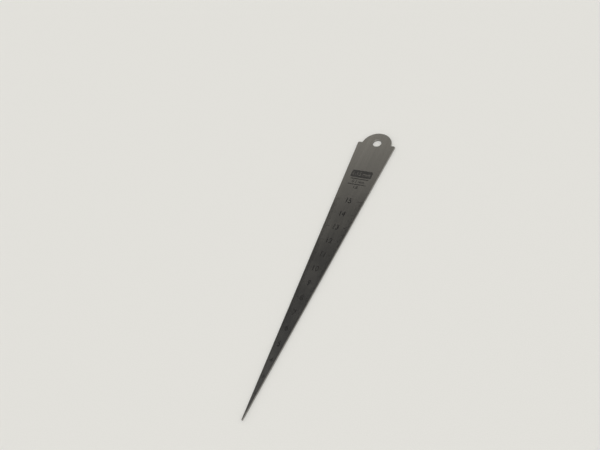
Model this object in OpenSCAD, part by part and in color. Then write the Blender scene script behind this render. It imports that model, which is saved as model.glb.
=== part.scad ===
// Taper gauge: one flat strip of steel whose width grows evenly from tip to shoulders.
// Pushed into a gap, it stops where it is as wide as the gap, and the line there gives the width.
// It lies on its back, marked face up, with the tip towards -Y and the hanging ear towards +Y.

/* [Scale] */
// Gauge width at the first line
scale_first = 1; // [1:1:4]
// Gauge width at the last line
scale_last = 15; // [8:1:20]
// Lines in each millimetre of width
divisions = 10; // [2, 4, 10]
// Length of blade over which the width grows by one millimetre
taper_run = 8; // [6:0.5:12]

/* [Blade] */
// Width of the cut-off tip
tip_w = 0.45; // [0.3:0.05:0.9]
// Thickness of the strip
thickness = 0.9; // [0.7:0.1:2]
// Length of handle between the last line and the shoulders
handle_len = 37; // [25:0.5:60]
// Leg of the clip across each shoulder corner
corner_clip = 0.5; // [0.4:0.1:1.5]

/* [Ear] */
// Height of the round ear above the shoulders
ear_h = 7; // [5:0.1:9]
// Radius of the round ear
ear_r = 7.6; // [6:0.1:8.2]
// Radius of the hollow fillets between the ear and the shoulders
ear_fillet_r = 0.4; // [0.4:0.1:1]
// Height of the hanging hole's centre above the shoulders
hole_rise = 0.5; // [-1:0.1:2]
// Diameter of the hanging hole
hole_d = 4.4; // [3:0.1:6]

/* [Edges] */
// Leg of the bevel that breaks every edge
edge_break = 0.1; // [0.06:0.01:0.2]

/* [Lines] */
// Depth to which the lines are etched
etch_depth = 0.05; // [0.02:0.01:0.1]
// Width of a line
line_w = 0.16; // [0.1:0.01:0.25]
// Length of a line at a whole millimetre
whole_line_len = 3.2; // [2:0.1:4]
// Length of a line at a half millimetre
half_line_len = 2.4; // [1.5:0.1:3]
// Length of any other line
part_line_len = 1.6; // [0.8:0.1:2.4]
// Gauge width from which the lines have their full length
full_line_w = 10; // [8:0.5:15]

/* [Hidden] */
$fn = 96;
// How far a cutting shape runs past the faces that it cuts
past = 0.2;

length = run_to(scale_last) + handle_len + ear_h;
tip_y = -length / 2;
shoulder_y = tip_y + run_to(scale_last) + handle_len;

ear_y = shoulder_y + ear_h - ear_r;
hole_y = shoulder_y + hole_rise;
fillet_y = shoulder_y + ear_fillet_r;
fillet_x = sqrt(pow(ear_r + ear_fillet_r, 2) - pow(fillet_y - ear_y, 2));

line_count = (scale_last - scale_first) * divisions;

// Distance from the tip to the place where the gauge is w wide
function run_to(w) = (w - tip_w) * taper_run;

// Half the width of the blade at a place along its length
function half_width(y) = (tip_w + (y - tip_y) / taper_run) / 2;

// Length of line number i, which shortens with the width w near the tip
function line_len(i, w) =
    min(1, w / full_line_w)
    * (i % divisions == 0 ? whole_line_len
        : 2 * i % divisions == 0 ? half_line_len
        : part_line_len);

// Half of a section through the strip, r from its inner end to its bevelled outer edge
module bevelled_section(r) {
    polygon([
        [0, 0],
        [r - edge_break, 0],
        [r, edge_break],
        [r, thickness - edge_break],
        [r - edge_break, thickness],
        [0, thickness],
    ]);
}

// Round cutter that leaves both rims of its hole bevelled
module flared_cutter(r) {
    rotate_extrude()
        polygon([
            [0, -past],
            [r + edge_break + past, -past],
            [r, edge_break],
            [r, thickness - edge_break],
            [r + edge_break + past, thickness + past],
            [0, thickness + past],
        ]);
}

// Large plate to the right of the way between two points, with its bevelled edge along that way
module half_plate(from, to) {
    way = to - from;
    translate([from.x, from.y, 0])
        rotate(atan2(way.y, way.x))
            translate([-length, 0, 0])
                rotate([90, 0, 90])
                    linear_extrude(norm(way) + 2 * length)
                        translate([-length, 0]) bevelled_section(length);
}

// Tapered strip from the tip to the shoulders, with clipped corners and bevelled edges
module tapered_strip() {
    clip_y = shoulder_y - corner_clip;
    right_edge = [
        [half_width(shoulder_y) - corner_clip, shoulder_y],
        [half_width(clip_y), clip_y],
        [tip_w / 2, tip_y],
    ];
    outline = [
        for (p = right_edge) p,
        for (i = [len(right_edge) - 1 : -1 : 0]) [-right_edge[i].x, right_edge[i].y],
    ];
    intersection_for (i = [0 : len(outline) - 1])
        half_plate(outline[i], outline[(i + 1) % len(outline)]);
}

// Web that fills the corner between the ear and one shoulder up to a hollow fillet
module ear_web() {
    root_y = min(shoulder_y, ear_y) - ear_fillet_r;
    difference() {
        linear_extrude(thickness)
            polygon([
                [0, ear_y],
                [0, root_y],
                [fillet_x, root_y],
                [fillet_x, fillet_y],
            ]);
        translate([fillet_x, fillet_y, 0]) flared_cutter(ear_fillet_r);
    }
}

// Etched lines along both edges, each at the place where the gauge has the width it stands for
module graduations() {
    for (i = [0 : line_count], side = [-1, 1]) {
        w = scale_first + i / divisions;
        reach = line_len(i, w) + past;
        translate([side * (w / 2 + past - reach / 2), tip_y + run_to(w), thickness - etch_depth])
            translate([-reach / 2, -line_w / 2, 0])
                cube([reach, line_w, etch_depth + past]);
    }
}

module gauge_blade() {
    color([0.56, 0.55, 0.53])
        difference() {
            union() {
                tapered_strip();
                translate([0, ear_y, 0]) rotate_extrude() bevelled_section(ear_r);
                ear_web();
                mirror([1, 0, 0]) ear_web();
            }
            translate([0, hole_y, 0]) flared_cutter(hole_d / 2);
            graduations();
        }
}

gauge_blade();
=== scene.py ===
import math

import bmesh
import bpy
from mathutils import Matrix, Vector


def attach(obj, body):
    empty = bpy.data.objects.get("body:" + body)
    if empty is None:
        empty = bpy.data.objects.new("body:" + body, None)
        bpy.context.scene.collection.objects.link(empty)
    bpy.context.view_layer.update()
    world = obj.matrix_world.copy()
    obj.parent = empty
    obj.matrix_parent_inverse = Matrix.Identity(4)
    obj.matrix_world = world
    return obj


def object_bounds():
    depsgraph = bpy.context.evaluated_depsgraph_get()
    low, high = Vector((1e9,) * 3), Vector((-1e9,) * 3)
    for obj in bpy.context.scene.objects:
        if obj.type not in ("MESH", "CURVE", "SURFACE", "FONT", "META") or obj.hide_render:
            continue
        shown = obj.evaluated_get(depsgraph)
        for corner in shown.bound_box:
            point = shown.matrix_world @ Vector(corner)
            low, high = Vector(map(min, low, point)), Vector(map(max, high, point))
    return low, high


# Looks of the taper gauge: satin steel with a dark etched scale and numbers, on a pale floor

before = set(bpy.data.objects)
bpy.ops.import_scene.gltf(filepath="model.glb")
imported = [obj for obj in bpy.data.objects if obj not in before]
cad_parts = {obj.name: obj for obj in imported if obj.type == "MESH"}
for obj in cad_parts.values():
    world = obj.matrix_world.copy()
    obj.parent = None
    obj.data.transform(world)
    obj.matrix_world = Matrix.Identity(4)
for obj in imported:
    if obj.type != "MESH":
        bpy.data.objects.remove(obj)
cad_low, cad_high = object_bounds()

MM = 0.001

# Sizes of the gauge, as its solid has them
TAPER_RUN = 8
TIP_W = 0.45 * MM
SCALE_FIRST = 1
SCALE_LAST = 15
DIVISIONS = 10
HANDLE_LEN = 37 * MM
EAR_R = 7.6 * MM
HOLE_RISE = 0.5 * MM
HOLE_R = 2.2 * MM
EDGE_BREAK = 0.1 * MM
ETCH_DEPTH = 0.05 * MM
LINE_W = 0.16 * MM
WHOLE_LINE_LEN = 3.2 * MM
HALF_LINE_LEN = 2.4 * MM
PART_LINE_LEN = 1.6 * MM
FULL_LINE_W = 10 * MM

# Places on the gauge, from its box
FACE_Z = cad_high.z
EAR_Y = cad_high.y - EAR_R
APEX_Y = cad_low.y - TIP_W * TAPER_RUN
SHOULDER_Y = APEX_Y + SCALE_LAST * MM * TAPER_RUN + HANDLE_LEN
HOLE_Y = SHOULDER_Y + HOLE_RISE

# Dark fill on the floor of each etched line
FILL_DEPTH = 0.025 * MM
FILL_GAP = 0.001 * MM

# Marks on the face: how far they stand up from it and reach into it
MARK_RISE = 0.012 * MM
MARK_ROOT = 0.004 * MM

# Numbers, whose height follows the blade's width near the tip
FIRST_NUMBER = 2
NUMBER_H = 2.9 * MM
NUMBER_H_PER_W = 0.52

# Letters, in units of their own type size
LETTER_NARROWING = 0.86
LETTER_DEPTH = 0.5
LETTER_CURVE_STEPS = 6
LETTER_MERGE = 1e-5
NUMBER_BOLD = 0.015
NOT_BOLD = 0

# Walls of letters: the most that a wall's normal rises, and the least cosine of a mitre to its walls
WALL_LEAN = 0.5
SHARPEST_MITRE = 0.5

# Panel with the range, and the division and the taper noted below it between rules
PANEL_Y = SHOULDER_Y - 20.3 * MM
PANEL_SIZE = (10.6 * MM, 4.4 * MM)
PANEL_CORNER_R = 0.7 * MM
PANEL_CORNER_STEPS = 6
PANEL_TEXT = f"{SCALE_FIRST}-{SCALE_LAST} mm"
PANEL_TEXT_H = 2.1 * MM
NOTE_H = 1.7 * MM
NOTES = (
    ("division_text", f"{1 / DIVISIONS} mm", SHOULDER_Y - 25.1 * MM),
    ("taper_text", f"1:{TAPER_RUN}", SHOULDER_Y - 28.7 * MM),
)
RULE_SIZE = (9.3 * MM, 0.42 * MM)
RULE_CORNER_R = RULE_SIZE[1] / 3
RULE_CORNER_STEPS = 2
RULES = (
    ("rule_upper", SHOULDER_Y - 23.4 * MM),
    ("rule_lower", SHOULDER_Y - 26.9 * MM),
)

# Steel: the cells of its patterns across, along and through the blade, with their turns in radians
GRAIN_CELL = (0.05 * MM, 9 * MM, 0.05 * MM)
GRAIN_DETAIL = 3
STREAK_CELL = (0.5 * MM, 45 * MM, 0.5 * MM)
STREAK_DETAIL = 2
HAZE_CELL = (11 * MM, 17 * MM, 11 * MM)
HAZE_DETAIL = 4
HAZE_TURN = 0.6
SCRATCH_CELL = (0.11 * MM, 5 * MM, 0.11 * MM)
SCRATCH_DETAIL = 1
SCRATCH_TURN = 0.16
SCRATCH_SPAN = (0.70, 0.76)

# Steel: wear in from the outline, weaker where the streaks are low
WEAR_REACH = (0.02 * MM, 0.4 * MM)
WEAR_STREAK_SPAN = (0.3, 0.7)
WEAR_LEAST = 0.35

# Steel: its tones, and the share that each pattern has in them
STEEL_DARK = (0.252, 0.247, 0.237, 1)
STEEL_PALE = (0.29, 0.284, 0.272, 1)
STREAK_SPAN = (0.25, 0.75)
HAZE_TONE = (0.225, 0.218, 0.204, 1)
HAZE_SPAN = (0.35, 0.75)
HAZE_SHARE = 0.22
GRAIN_TONE = (0.36, 0.353, 0.34, 1)
GRAIN_SPAN = (0.3, 0.7)
GRAIN_SHARE = 0.16
SCRATCH_TONE = (0.40, 0.395, 0.385, 1)
SCRATCH_SHARE = 0.25
WEAR_TONE = (0.42, 0.414, 0.40, 1)
WEAR_SHARE = 0.35

# Steel: its roughness, most in the wall and rims of the punched hole, and its relief
ROUGH_GRAIN_SPAN = (0.25, 0.75)
ROUGH_BY_GRAIN = (0.15, 0.21)
ROUGH_HAZE_SPAN = (0.4, 0.8)
ROUGH_BY_HAZE = (0, 0.05)
SMOOTH_BY_WEAR = 0.03
HOLE_DULL_REACH = (0.1 * MM, 0.2 * MM)
HOLE_DULLING = 0.25
SCRATCH_HEIGHT = -0.6
STEEL_BUMP = 0.12
STEEL_BUMP_DEPTH = 0.004 * MM

# Oxide of the marks and of the panel
MARK_DARKEST = (0.012, 0.012, 0.0125, 1)
MARK_PALEST = (0.02, 0.0197, 0.0193, 1)
PANEL_DARKEST = (0.03, 0.0295, 0.029, 1)
PANEL_PALEST = (0.04, 0.0392, 0.038, 1)
OXIDE_GRIT_CELL = (0.03 * MM, 0.03 * MM, 0.03 * MM)
OXIDE_PATCH_CELL = (1.3 * MM, 1.3 * MM, 1.3 * MM)
OXIDE_DETAIL = 3
OXIDE_ROUGH = (0.6, 0.75)
OXIDE_SPECULAR = 0.15
OXIDE_BUMP = 0.2
OXIDE_BUMP_DEPTH = 0.003 * MM

# Floor
FLOOR_REACH = 60
FLOOR_DROP = 0.01 * MM
FLOOR_DARKEST = (0.765, 0.77, 0.765, 1)
FLOOR_PALEST = (0.785, 0.79, 0.785, 1)
FIBRE_CELL = (0.5 * MM, 0.5 * MM, 0.5 * MM)
FIBRE_DETAIL = 4
FLOOR_ROUGH = 0.85
FLOOR_SPECULAR = 0.2

# Noise: its falloff from coarse to fine, and the middle of its spread
NOISE_FALLOFF = 0.55
NOISE_MIDDLE = (0.3, 0.7)

# Camera, from the photograph
CAMERA_AT = Vector((0.15403, -0.1822, 0.29698))
CAMERA_AIM = Vector((-0.01797, 0.01796, 0))
CAMERA_ROLL = math.radians(-21.62)
CAMERA_LENS = 50.96
CAMERA_NEAR = 0.01
CAMERA_FAR = 200

# Light: one soft key from the camera's side, and the room's brightness by degrees above the floor
KEY_TOWARDS = Vector((-0.3, 0.4, -0.86))
KEY_SPREAD = math.radians(40)
KEY_STRENGTH = 1.25
KEY_COLOUR = (1, 0.99, 0.97)
ROOM_BANDS = (
    (0, (0.765, 0.765, 0.725)),
    (15, (0.95, 0.916, 0.838)),
    (42, (0.95, 0.916, 0.838)),
    (49, (0.0502, 0.0513, 0.0534)),
    (51.5, (0.0502, 0.0513, 0.0534)),
    (78, (0.64, 0.64, 0.63)),
)


def place_of(width):
    """Place along the blade where it has a width."""
    return APEX_Y + width * TAPER_RUN


def new_piece(name, mesh, material):
    """Object of the gauge from a mesh, carried by its one body."""
    mesh.materials.clear()
    mesh.materials.append(material)
    piece = bpy.data.objects.new(name, mesh)
    bpy.context.scene.collection.objects.link(piece)
    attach(piece, "root")


class Shader:
    """Short way to add nodes to a material and join them."""

    def __init__(self, name):
        self.material = bpy.data.materials.new(name)
        self.material.use_nodes = True
        self.tree = self.material.node_tree
        self.surface = self.tree.nodes["Principled BSDF"]

    def feed(self, socket, value):
        """Give a socket a number, a colour or another node's output."""
        if isinstance(value, bpy.types.NodeSocket):
            self.tree.links.new(value, socket)
        else:
            socket.default_value = value

    def set(self, node, **values):
        """Feed a node's sockets by name."""
        for key, value in values.items():
            self.feed(node.inputs[key.replace("_", " ")], value)

    def place(self):
        """The gauge's own coordinates, in metres."""
        return self.tree.nodes.new("ShaderNodeTexCoord").outputs["Object"]

    def parts(self, vector):
        """The three parts of a vector."""
        node = self.tree.nodes.new("ShaderNodeSeparateXYZ")
        self.set(node, Vector=vector)
        return node.outputs

    def math(self, operation, *values):
        """Result of a sum on numbers or other nodes' outputs."""
        node = self.tree.nodes.new("ShaderNodeMath")
        node.operation = operation
        for socket, value in zip(node.inputs, values):
            self.feed(socket, value)
        return node.outputs[0]

    def noise(self, cell, detail, turn=0):
        """Noise whose cells have the given size in metres along X, Y and Z."""
        mapping = self.tree.nodes.new("ShaderNodeMapping")
        self.set(mapping, Vector=self.place(), Rotation=(0, 0, turn), Scale=[1 / c for c in cell])
        node = self.tree.nodes.new("ShaderNodeTexNoise")
        self.set(node, Vector=mapping.outputs[0], Scale=1, Detail=detail, Roughness=NOISE_FALLOFF)
        return node.outputs["Fac"]

    def span(self, value, source, target):
        """Value carried smoothly from one span to another and held at its ends."""
        node = self.tree.nodes.new("ShaderNodeMapRange")
        node.interpolation_type = "SMOOTHSTEP"
        self.set(node, Value=value, From_Min=source[0], From_Max=source[1])
        self.set(node, To_Min=target[0], To_Max=target[1])
        return node.outputs[0]

    def mix(self, share, first, second):
        """First colour with a share of the second."""
        node = self.tree.nodes.new("ShaderNodeMixRGB")
        self.set(node, Fac=share, Color1=first, Color2=second)
        return node.outputs[0]

    def bump(self, height, strength, depth):
        """Normal of a surface with a fine relief."""
        node = self.tree.nodes.new("ShaderNodeBump")
        self.set(node, Height=height, Strength=strength, Distance=depth)
        return node.outputs[0]


def distance_from(s, y):
    """Distance, seen from above, from a place on the centre line, in a material."""
    across, along, _ = s.parts(s.place())
    up = s.math("SUBTRACT", along, y)
    squares = s.math("ADD", s.math("MULTIPLY", across, across), s.math("MULTIPLY", up, up))
    return s.math("SQRT", squares)


def depth_inside(s):
    """Distance from the gauge's outline inwards, in a material."""
    across, along, _ = s.parts(s.place())
    half_width = s.math("MULTIPLY", s.math("SUBTRACT", along, APEX_Y), 0.5 / TAPER_RUN)
    in_side = s.math("SUBTRACT", half_width, s.math("ABSOLUTE", across))
    in_shoulder = s.math("SUBTRACT", SHOULDER_Y, along)
    in_ear = s.math("SUBTRACT", EAR_R, distance_from(s, EAR_Y))
    return s.math("MAXIMUM", s.math("MINIMUM", in_side, in_shoulder), in_ear)


def satin_steel():
    """Steel with a fine grain along the blade, faint handling haze, edges rubbed bright and a dull hole."""
    s = Shader("satin_steel")
    grain = s.noise(GRAIN_CELL, GRAIN_DETAIL)
    streaks = s.noise(STREAK_CELL, STREAK_DETAIL)
    haze = s.noise(HAZE_CELL, HAZE_DETAIL, HAZE_TURN)
    scratches = s.span(s.noise(SCRATCH_CELL, SCRATCH_DETAIL, SCRATCH_TURN), SCRATCH_SPAN, (0, 1))
    worn_by_streaks = s.span(streaks, WEAR_STREAK_SPAN, (WEAR_LEAST, 1))
    wear = s.math("MULTIPLY", s.span(depth_inside(s), WEAR_REACH, (1, 0)), worn_by_streaks)

    tone = s.mix(s.span(streaks, STREAK_SPAN, (0, 1)), STEEL_DARK, STEEL_PALE)
    tone = s.mix(s.span(haze, HAZE_SPAN, (0, HAZE_SHARE)), tone, HAZE_TONE)
    tone = s.mix(s.span(grain, GRAIN_SPAN, (0, GRAIN_SHARE)), tone, GRAIN_TONE)
    tone = s.mix(s.math("MULTIPLY", scratches, SCRATCH_SHARE), tone, SCRATCH_TONE)
    tone = s.mix(s.math("MULTIPLY", wear, WEAR_SHARE), tone, WEAR_TONE)

    rough = s.span(grain, ROUGH_GRAIN_SPAN, ROUGH_BY_GRAIN)
    rough = s.math("ADD", rough, s.span(haze, ROUGH_HAZE_SPAN, ROUGH_BY_HAZE))
    rough = s.math("SUBTRACT", rough, s.math("MULTIPLY", wear, SMOOTH_BY_WEAR))
    past_hole = s.math("SUBTRACT", distance_from(s, HOLE_Y), HOLE_R)
    rough = s.math("ADD", rough, s.span(past_hole, HOLE_DULL_REACH, (HOLE_DULLING, 0)))

    height = s.math("ADD", grain, s.math("MULTIPLY", scratches, SCRATCH_HEIGHT))
    relief = s.bump(height, STEEL_BUMP, STEEL_BUMP_DEPTH)
    s.set(s.surface, Base_Color=tone, Roughness=rough, Normal=relief, Metallic=1)
    return s.material


def etched_oxide(name, darkest, palest):
    """Dark etched mark between two tones, a little uneven and matt."""
    s = Shader(name)
    grit = s.noise(OXIDE_GRIT_CELL, OXIDE_DETAIL)
    patches = s.noise(OXIDE_PATCH_CELL, OXIDE_DETAIL)
    tone = s.mix(s.span(patches, NOISE_MIDDLE, (0, 1)), darkest, palest)
    rough = s.span(grit, NOISE_MIDDLE, OXIDE_ROUGH)
    relief = s.bump(grit, OXIDE_BUMP, OXIDE_BUMP_DEPTH)
    s.set(s.surface, Base_Color=tone, Roughness=rough, Normal=relief)
    s.set(s.surface, Specular_IOR_Level=OXIDE_SPECULAR)
    return s.material


def pale_floor():
    """Matt pale surface with a barely visible fibre."""
    s = Shader("pale_floor")
    fibre = s.noise(FIBRE_CELL, FIBRE_DETAIL)
    tone = s.mix(s.span(fibre, NOISE_MIDDLE, (0, 1)), FLOOR_DARKEST, FLOOR_PALEST)
    s.set(s.surface, Base_Color=tone, Roughness=FLOOR_ROUGH, Specular_IOR_Level=FLOOR_SPECULAR)
    return s.material


def add_block(bm, low, high):
    """Closed block between two corners."""
    centre = (low + high) / 2
    matrix = Matrix.Translation(centre) @ Matrix.Diagonal((*(high - low), 1))
    bmesh.ops.create_cube(bm, size=1, matrix=matrix)


def line_length(i, width):
    """Length of line number i, which shortens with the width near the tip."""
    if i % DIVISIONS == 0:
        full = WHOLE_LINE_LEN
    elif 2 * i % DIVISIONS == 0:
        full = HALF_LINE_LEN
    else:
        full = PART_LINE_LEN
    return full * min(1, width / FULL_LINE_W)


def scale_lines(material):
    """Dark fill in the floor of every etched line of the scale, on both edges."""
    bm = bmesh.new()
    floor_z = FACE_Z - ETCH_DEPTH
    for i in range((SCALE_LAST - SCALE_FIRST) * DIVISIONS + 1):
        width = (SCALE_FIRST + i / DIVISIONS) * MM
        inner = width / 2 - line_length(i, width) + FILL_GAP
        outer = width / 2 - EDGE_BREAK
        y = place_of(width)
        for side in (-1, 1):
            left, right = sorted((side * inner, side * outer))
            low = Vector((left, y - LINE_W / 2 + FILL_GAP, floor_z - FILL_GAP))
            high = Vector((right, y + LINE_W / 2 - FILL_GAP, floor_z + FILL_DEPTH))
            add_block(bm, low, high)
    mesh = bpy.data.meshes.new("scale_lines")
    bm.to_mesh(mesh)
    bm.free()
    new_piece("scale_lines", mesh, material)


def typeset(text):
    """Mesh of a text in the plain built-in type, with depth."""
    curve = bpy.data.curves.new("type", "FONT")
    curve.body = text
    curve.align_x = "CENTER"
    curve.extrude = LETTER_DEPTH
    curve.resolution_u = LETTER_CURVE_STEPS
    writer = bpy.data.objects.new("type", curve)
    bpy.context.scene.collection.objects.link(writer)
    bpy.context.view_layer.update()
    shown = writer.evaluated_get(bpy.context.evaluated_depsgraph_get())
    mesh = bpy.data.meshes.new_from_object(shown)
    bpy.data.objects.remove(writer)
    bpy.data.curves.remove(curve)
    return mesh


def thicken(bm, by):
    """Move the upright walls of letters outwards, each corner along its mitre."""
    bm.normal_update()
    moves = []
    for v in bm.verts:
        walls = [f.normal for f in v.link_faces if abs(f.normal.z) < WALL_LEAN]
        mitre = sum(walls, Vector()).normalized()
        reach = max(min(mitre.dot(n) for n in walls), SHARPEST_MITRE)
        moves.append(mitre * by / reach)
    for v, move in zip(bm.verts, moves):
        v.co += move


def lettering(name, text, height, y, base_z, bold, material):
    """Raised numerals and units, centred on the blade at a place along it and closed all round."""
    mesh = typeset(text)
    mesh.name = name
    bm = bmesh.new()
    bm.from_mesh(mesh)
    bmesh.ops.remove_doubles(bm, verts=bm.verts, dist=LETTER_MERGE)
    thicken(bm, bold)
    low = Vector([min(v.co[k] for v in bm.verts) for k in range(3)])
    high = Vector([max(v.co[k] for v in bm.verts) for k in range(3)])
    scale = height / (high.y - low.y)
    middle = (low + high) / 2
    for v in bm.verts:
        local = v.co - middle
        lift = (local.z / (high.z - low.z) + 0.5) * (MARK_RISE + MARK_ROOT) - MARK_ROOT
        v.co = Vector((local.x * scale * LETTER_NARROWING, y + local.y * scale, base_z + lift))
    bmesh.ops.recalc_face_normals(bm, faces=bm.faces)
    bm.to_mesh(mesh)
    bm.free()
    new_piece(name, mesh, material)


def plate(name, size, corner_r, corner_steps, y, material):
    """Thin flat plate with round corners, lying on the face at a place along the blade."""
    half_x = size[0] / 2 - corner_r
    half_y = size[1] / 2 - corner_r
    outline = []
    for corner, (side, end) in enumerate(((1, 1), (-1, 1), (-1, -1), (1, -1))):
        for step in range(corner_steps + 1):
            angle = math.pi / 2 * (corner + step / corner_steps)
            dx = side * half_x + corner_r * math.cos(angle)
            dy = end * half_y + corner_r * math.sin(angle)
            outline.append((dx, y + dy))
    bm = bmesh.new()
    bottom = [bm.verts.new((*point, FACE_Z - MARK_ROOT)) for point in outline]
    top = [bm.verts.new((*point, FACE_Z + MARK_RISE)) for point in outline]
    bm.faces.new(bottom[::-1])
    bm.faces.new(top)
    for i in range(len(outline)):
        bm.faces.new((bottom[i - 1], bottom[i], top[i], top[i - 1]))
    mesh = bpy.data.meshes.new(name)
    bm.to_mesh(mesh)
    bm.free()
    new_piece(name, mesh, material)


def numbers(material):
    """One number on the centre line at every whole millimetre of width."""
    for value in range(FIRST_NUMBER, SCALE_LAST + 1):
        width = value * MM
        height = min(NUMBER_H, NUMBER_H_PER_W * width)
        name = f"number_{value:02d}"
        lettering(name, str(value), height, place_of(width), FACE_Z, NUMBER_BOLD, material)


def range_panel(ground, dark, bright):
    """Dark panel with the range standing out bright, and the division and taper below it between rules."""
    plate("range_panel", PANEL_SIZE, PANEL_CORNER_R, PANEL_CORNER_STEPS, PANEL_Y, ground)
    panel_z = FACE_Z + MARK_RISE
    lettering("range_text", PANEL_TEXT, PANEL_TEXT_H, PANEL_Y, panel_z, NOT_BOLD, bright)
    for name, text, y in NOTES:
        lettering(name, text, NOTE_H, y, FACE_Z, NOT_BOLD, dark)
    for name, y in RULES:
        plate(name, RULE_SIZE, RULE_CORNER_R, RULE_CORNER_STEPS, y, dark)


def camera():
    """Camera where the photograph was taken from."""
    data = bpy.data.cameras.new("camera")
    data.lens = CAMERA_LENS
    data.clip_start = CAMERA_NEAR
    data.clip_end = CAMERA_FAR
    eye = bpy.data.objects.new("camera", data)
    bpy.context.scene.collection.objects.link(eye)
    facing = (CAMERA_AIM - CAMERA_AT).to_track_quat("-Z", "Y").to_matrix().to_4x4()
    eye.matrix_world = Matrix.Translation(CAMERA_AT) @ facing @ Matrix.Rotation(CAMERA_ROLL, 4, "Z")
    bpy.context.scene.camera = eye


def floor():
    """Large pale floor just under the gauge."""
    bm = bmesh.new()
    bmesh.ops.create_grid(bm, x_segments=1, y_segments=1, size=FLOOR_REACH)
    mesh = bpy.data.meshes.new("floor")
    bm.to_mesh(mesh)
    bm.free()
    mesh.materials.append(pale_floor())
    ground = bpy.data.objects.new("floor", mesh)
    ground.location.z = -FLOOR_DROP
    bpy.context.scene.collection.objects.link(ground)


def key_light():
    """Even soft light from the camera's side."""
    data = bpy.data.lights.new("key_light", "SUN")
    data.angle = KEY_SPREAD
    data.energy = KEY_STRENGTH
    data.color = KEY_COLOUR
    source = bpy.data.objects.new("key_light", data)
    source.rotation_euler = KEY_TOWARDS.to_track_quat("-Z", "Y").to_euler()
    bpy.context.scene.collection.objects.link(source)


def room():
    """Pale walls up to about half height, a dim band above them and a paler ceiling."""
    world = bpy.data.worlds.new("room")
    bpy.context.scene.world = world
    world.use_nodes = True
    tree = world.node_tree
    place = tree.nodes.new("ShaderNodeTexCoord")
    parts = tree.nodes.new("ShaderNodeSeparateXYZ")
    bands = tree.nodes.new("ShaderNodeValToRGB")
    ramp = bands.color_ramp
    ramp.interpolation = "EASE"
    while len(ramp.elements) < len(ROOM_BANDS):
        ramp.elements.new(1)
    for stop, (elevation, colour) in zip(ramp.elements, ROOM_BANDS):
        stop.position = math.sin(math.radians(elevation))
        stop.color = (*colour, 1)
    backdrop = tree.nodes["Background"]
    tree.links.new(place.outputs["Generated"], parts.inputs[0])
    tree.links.new(parts.outputs["Z"], bands.inputs[0])
    tree.links.new(bands.outputs[0], backdrop.inputs["Color"])


steel = satin_steel()
oxide = etched_oxide("mark_oxide", MARK_DARKEST, MARK_PALEST)
panel_oxide = etched_oxide("panel_oxide", PANEL_DARKEST, PANEL_PALEST)
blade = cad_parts["gauge_blade"]
blade.data.materials.clear()
blade.data.materials.append(steel)

scale_lines(oxide)
numbers(oxide)
range_panel(panel_oxide, oxide, steel)

floor()
room()
key_light()
camera()

bpy.context.scene.view_settings.view_transform = "Standard"
